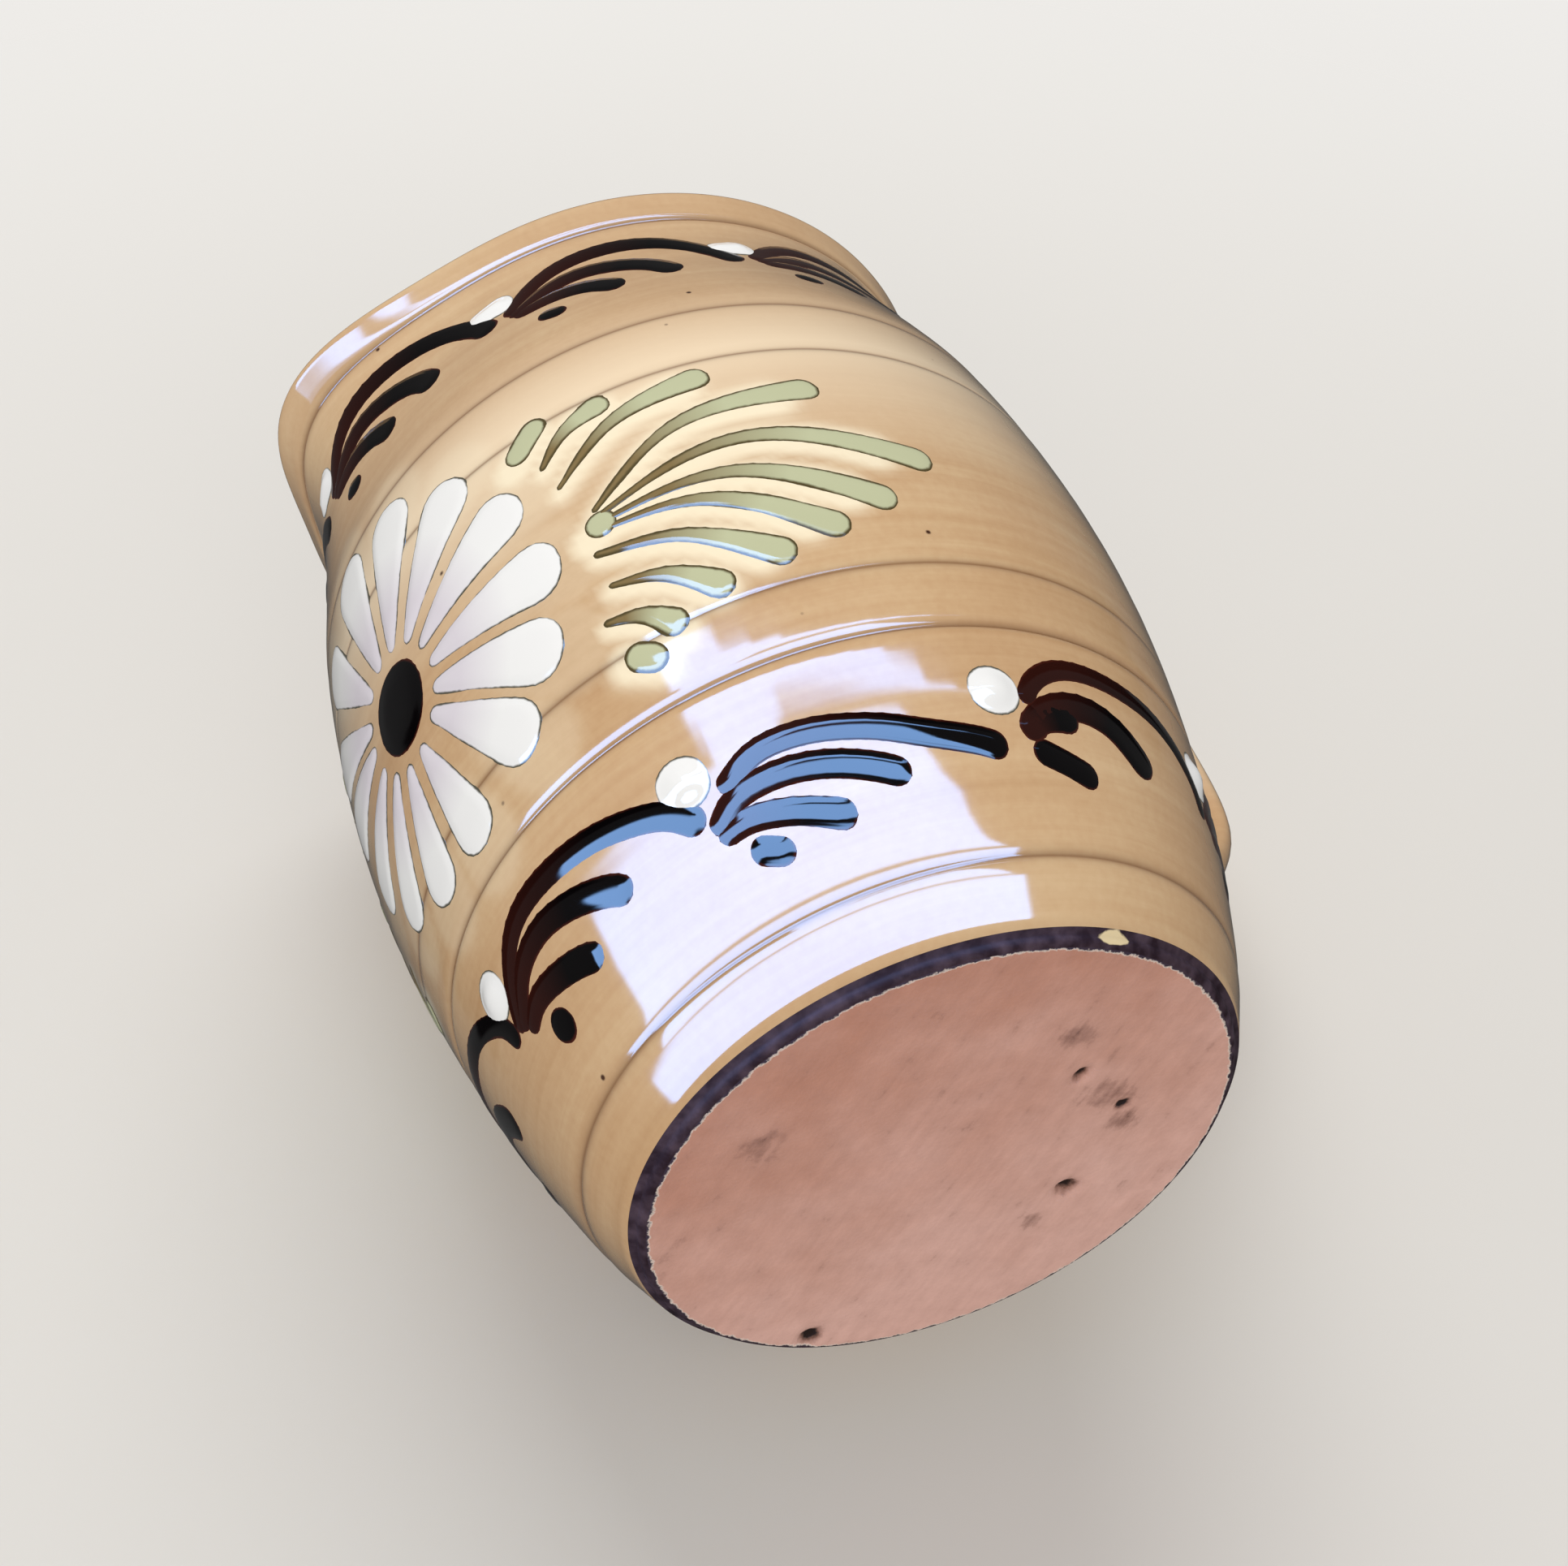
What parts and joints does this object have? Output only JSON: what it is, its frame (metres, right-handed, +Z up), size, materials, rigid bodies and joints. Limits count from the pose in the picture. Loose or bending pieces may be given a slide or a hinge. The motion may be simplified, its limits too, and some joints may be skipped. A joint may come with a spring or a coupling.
{
  "type": "ceramic jug",
  "caption": "Barrel-shaped earthenware pouring jug with a pulled lip, a strap handle, turned lines and slip-trailed daisy, fern and scroll decoration under a clear glaze.",
  "frame": {"origin": "centre of the flat foot, on the surface that the jug stands on", "axes": "+Z up through the mouth, -Y towards the pouring lip, +Y towards the handle"},
  "size_m": [0.1022, 0.1299, 0.1269],
  "materials": {
    "glazed_clay": "tan slip under a clear gloss glaze, bare clay under the foot",
    "dark_slip": "trailed manganese-brown slip under a clear gloss glaze",
    "white_slip": "trailed white slip under a clear gloss glaze",
    "green_slip": "trailed pale green slip under a clear gloss glaze"
  },
  "bodies": {
    "root": {"body": "glazed_clay", "handle": "glazed_clay", "lower_scroll_1": "dark_slip", "lower_scroll_2": "dark_slip", "lower_scroll_3": "dark_slip", "lower_scroll_4": "dark_slip", "lower_scroll_5": "dark_slip", "lower_scroll_6": "dark_slip", "lower_scroll_7": "dark_slip", "lower_scroll_8": "dark_slip", "upper_scroll_1": "dark_slip", "upper_scroll_2": "dark_slip", "upper_scroll_3": "dark_slip", "upper_scroll_4": "dark_slip", "upper_scroll_5": "dark_slip", "upper_scroll_6": "dark_slip", "upper_scroll_7": "dark_slip", "daisy_centre": "dark_slip", "lower_dot_1": "white_slip", "lower_dot_2": "white_slip", "lower_dot_3": "white_slip", "lower_dot_4": "white_slip", "lower_dot_5": "white_slip", "lower_dot_6": "white_slip", "lower_dot_7": "white_slip", "lower_dot_8": "white_slip", "upper_dot_1": "white_slip", "upper_dot_2": "white_slip", "upper_dot_3": "white_slip", "upper_dot_4": "white_slip", "upper_dot_5": "white_slip", "upper_dot_6": "white_slip", "upper_dot_7": "white_slip", "upper_dot_8": "white_slip", "petal_1": "white_slip", "petal_2": "white_slip", "petal_3": "white_slip", "petal_4": "white_slip", "petal_5": "white_slip", "petal_6": "white_slip", "petal_7": "white_slip", "petal_8": "white_slip", "petal_9": "white_slip", "petal_10": "white_slip", "petal_11": "white_slip", "petal_12": "white_slip", "petal_13": "white_slip", "petal_14": "white_slip", "right_fern_fan": "green_slip", "right_fern_1": "green_slip", "right_fern_2": "green_slip", "right_fern_3": "green_slip", "right_fern_4": "green_slip", "right_fern_5": "green_slip", "left_fern_fan": "green_slip", "left_fern_1": "green_slip", "left_fern_2": "green_slip", "left_fern_3": "green_slip", "left_fern_4": "green_slip", "left_fern_5": "green_slip"}
  },
  "joints": []
}
